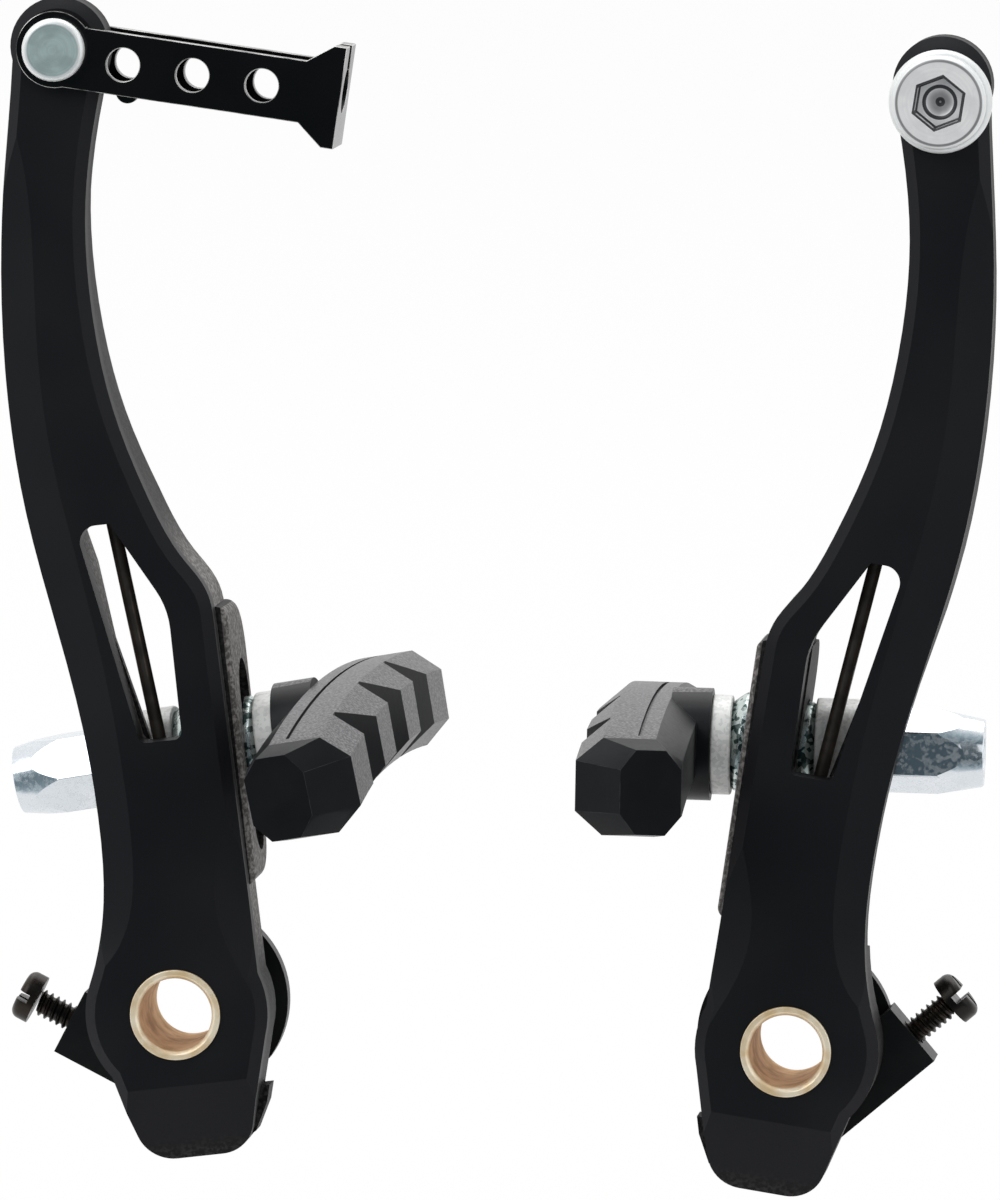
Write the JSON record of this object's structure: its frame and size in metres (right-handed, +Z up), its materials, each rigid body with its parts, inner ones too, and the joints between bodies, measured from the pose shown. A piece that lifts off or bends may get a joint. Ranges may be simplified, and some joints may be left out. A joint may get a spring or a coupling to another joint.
{
  "type": "v brake",
  "caption": "Linear-pull bicycle rim brake: black arms on brass post bushes, tilting pads on ball washers, a folding cable guide bracket and a cable anchor.",
  "frame": {"origin": "on the left post's axis, where the left bush meets the frame", "axes": "+X towards the right arm, +Y along the posts towards the frame, +Z up from the posts to the arm heads"},
  "size_m": [0.1107, 0.0687, 0.1285],
  "materials": {
    "arm_black": "satin black over forged aluminium",
    "bush_brass": "worn, plain",
    "holder_plastic": "moulded black",
    "pin_steel": "plain",
    "spring_wire": "dark drawn wire",
    "screw_black": "black oxide",
    "washer_zinc": "zinc plated",
    "nut_chrome": "bright plated",
    "stud_steel": "threaded, plain",
    "pad_rubber": "moulded",
    "bracket_black": "gloss black",
    "rivet_zinc": "zinc plated",
    "anchor_silver": "satin"
  },
  "bodies": {
    "spring_holders": {"left_spring_holder": "holder_plastic", "left_holder_pin": "pin_steel", "right_spring_holder": "holder_plastic", "right_holder_pin": "pin_steel"},
    "left_arm_body": {"left_arm": "arm_black", "left_pivot_bush": "bush_brass", "left_return_spring": "spring_wire", "bracket_rivet": "rivet_zinc"},
    "left_dome_washers": {"left_inner_dome_washer": "washer_zinc", "left_outer_dome_washer": "washer_zinc"},
    "left_cup_washers": {"left_inner_cup_washer": "washer_zinc", "left_outer_cup_washer": "washer_zinc", "left_flat_washer": "washer_zinc"},
    "left_shoe": {"left_cap_nut": "nut_chrome", "left_shoe_stud": "stud_steel", "left_brake_pad": "pad_rubber"},
    "left_screw_body": {"left_tension_screw": "screw_black"},
    "right_arm_body": {"right_arm": "arm_black", "right_pivot_bush": "bush_brass", "right_return_spring": "spring_wire", "cable_anchor_bolt": "anchor_silver", "cable_anchor_washer": "anchor_silver"},
    "right_dome_washers": {"right_inner_dome_washer": "washer_zinc", "right_outer_dome_washer": "washer_zinc"},
    "right_cup_washers": {"right_inner_cup_washer": "washer_zinc", "right_outer_cup_washer": "washer_zinc", "right_flat_washer": "washer_zinc"},
    "right_shoe": {"right_cap_nut": "nut_chrome", "right_shoe_stud": "stud_steel", "right_brake_pad": "pad_rubber"},
    "right_screw_body": {"right_tension_screw": "screw_black"},
    "cable_bracket_body": {"cable_bracket": "bracket_black"}
  },
  "joints": [
    {"name": "left_arm_pivot", "type": "hinge", "parent": "spring_holders", "child": "left_arm_body", "pos_m": [0, -0.008, 0], "axis": [0, 1, 0], "range_deg": [-20, 10], "stiffness_Nm_per_rad": 1.5, "deforming": ["left_return_spring"]},
    {"name": "left_shoe_height", "type": "slide", "parent": "left_arm_body", "child": "left_dome_washers", "axis": [-0.1556, 0, 0.9878], "range_m": [-0.0074, 0.0056]},
    {"name": "left_shoe_tilt", "type": "hinge", "parent": "left_dome_washers", "child": "left_cup_washers", "pos_m": [0.00258, -0.004, 0.02843], "axis": [0, -1, 0], "range_deg": [-15.55, 8.45]},
    {"name": "left_shoe_turn", "type": "hinge", "parent": "left_cup_washers", "child": "left_shoe", "pos_m": [0.00258, -0.004, 0.02843], "axis": [0.9746, -0.0593, 0.2161], "range_deg": [-15, 15]},
    {"name": "left_tension_screw_travel", "type": "slide", "parent": "spring_holders", "child": "left_screw_body", "axis": [0.9092, 0, -0.4163], "range_m": [-0.003, 0.003], "deforming": ["left_return_spring"]},
    {"name": "right_arm_pivot", "type": "hinge", "parent": "spring_holders", "child": "right_arm_body", "pos_m": [0.0674, -0.008, 0], "axis": [0, -1, 0], "range_deg": [-20, 10], "stiffness_Nm_per_rad": 1.5, "deforming": ["right_return_spring"]},
    {"name": "right_shoe_height", "type": "slide", "parent": "right_arm_body", "child": "right_dome_washers", "axis": [0.0985, 0, 0.9951], "range_m": [-0.0114, 0.0016]},
    {"name": "right_shoe_tilt", "type": "hinge", "parent": "right_dome_washers", "child": "right_cup_washers", "pos_m": [0.06358, -0.004, 0.03222], "axis": [0, 1, 0], "range_deg": [-5.05, 18.95]},
    {"name": "right_shoe_turn", "type": "hinge", "parent": "right_cup_washers", "child": "right_shoe", "pos_m": [0.06358, -0.004, 0.03222], "axis": [-0.9992, -0.0314, -0.0227], "range_deg": [-15, 15]},
    {"name": "right_tension_screw_travel", "type": "slide", "parent": "spring_holders", "child": "right_screw_body", "axis": [-0.7337, 0, -0.6794], "range_m": [-0.003, 0.003], "deforming": ["right_return_spring"]},
    {"name": "cable_bracket_pivot", "type": "hinge", "parent": "left_arm_body", "child": "cable_bracket_body", "pos_m": [-0.01794, -0.0132, 0.10549], "axis": [0, -1, 0], "range_deg": [-50, 75]}
  ]
}
